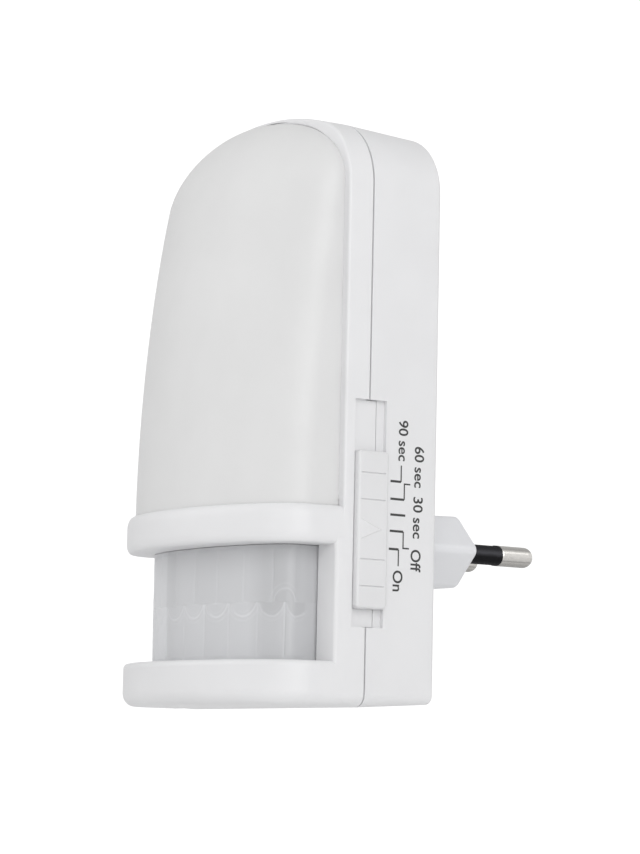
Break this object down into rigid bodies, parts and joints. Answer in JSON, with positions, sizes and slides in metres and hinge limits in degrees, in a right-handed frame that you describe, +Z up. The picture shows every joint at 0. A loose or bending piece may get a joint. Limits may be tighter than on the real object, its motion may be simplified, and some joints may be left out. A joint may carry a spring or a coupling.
{
  "type": "plug-in night light",
  "caption": "White plug-in night light: domed diffuser over a motion sensor window, side slide switch with a time scale, flat round-pin plug at the back.",
  "frame": {"origin": "between the two plug pins, in the plug face that meets the socket", "axes": "+Y runs along the pins into the wall, +Z is up, +X is the switch side; the light faces -Y"},
  "size_m": [0.0614, 0.077, 0.11],
  "materials": {
    "housing_white": "satin moulded ABS, fine spark texture",
    "diffuser_white": "satin, milky and translucent",
    "lens_white": "milky polyethylene with moulded Fresnel zones",
    "plug_white": "smooth white, slightly cool",
    "sleeve_black": "smooth black insulation",
    "pin_nickel": "nickel-plated brass, satin",
    "contact_brass": "rolled strip",
    "switch_black": "moulded",
    "carrier_grey": "moulded acetal",
    "board_green": "solder mask on glass-fibre laminate",
    "board_white": "white solder mask",
    "led_yellow": "phosphor under clear resin",
    "steel_zinc": "zinc-plated steel",
    "can_metal": "drawn nickel can",
    "filter_dark": "dark infrared filter",
    "component_black": "moulded epoxy",
    "capacitor_yellow": "moulded box",
    "capacitor_sleeve": "shrink sleeve",
    "resistor_ceramic": "lacquered body",
    "chip_ceramic": "sintered chip",
    "diode_glass": "glass body",
    "photocell_red": "coated ceramic disc"
  },
  "bodies": {
    "housing": {"rear_case": "housing_white", "front_case": "housing_white", "plug_body": "plug_white", "pin_left": "pin_nickel", "pin_right": "pin_nickel", "sleeve_left": "sleeve_black", "sleeve_right": "sleeve_black", "contact_left": "contact_brass", "contact_right": "contact_brass", "diffuser": "diffuser_white", "pir_lens": "lens_white", "lens_frame": "component_black", "switch_frame": "switch_black", "switch_contacts": "contact_brass", "main_board": "board_green", "board_screws": "steel_zinc", "case_screws": "steel_zinc", "reflector": "diffuser_white", "led_board": "board_white", "leds": "led_yellow", "link_pins": "contact_brass", "light_baffle": "component_black", "pir_sensor": "can_metal", "pir_filter": "filter_dark", "sensor_spacer": "component_black", "sensor_legs": "contact_brass", "photocell": "photocell_red", "dropper_capacitor": "capacitor_yellow", "smoothing_capacitor": "capacitor_sleeve", "fuse_resistor": "resistor_ceramic", "bridge_rectifier": "component_black", "control_chip": "component_black", "chip_legs": "steel_zinc", "chip_resistors": "chip_ceramic", "zener_diode": "diode_glass", "transistor": "component_black"},
    "switch": {"switch_knob": "housing_white", "switch_carrier": "carrier_grey", "switch_wiper": "contact_brass", "detent_leaf": "steel_zinc"}
  },
  "joints": [
    {"name": "switch_slide", "type": "slide", "parent": "housing", "child": "switch", "axis": [0, 0, 1], "range_m": [-0.00305, 0.00915]}
  ]
}
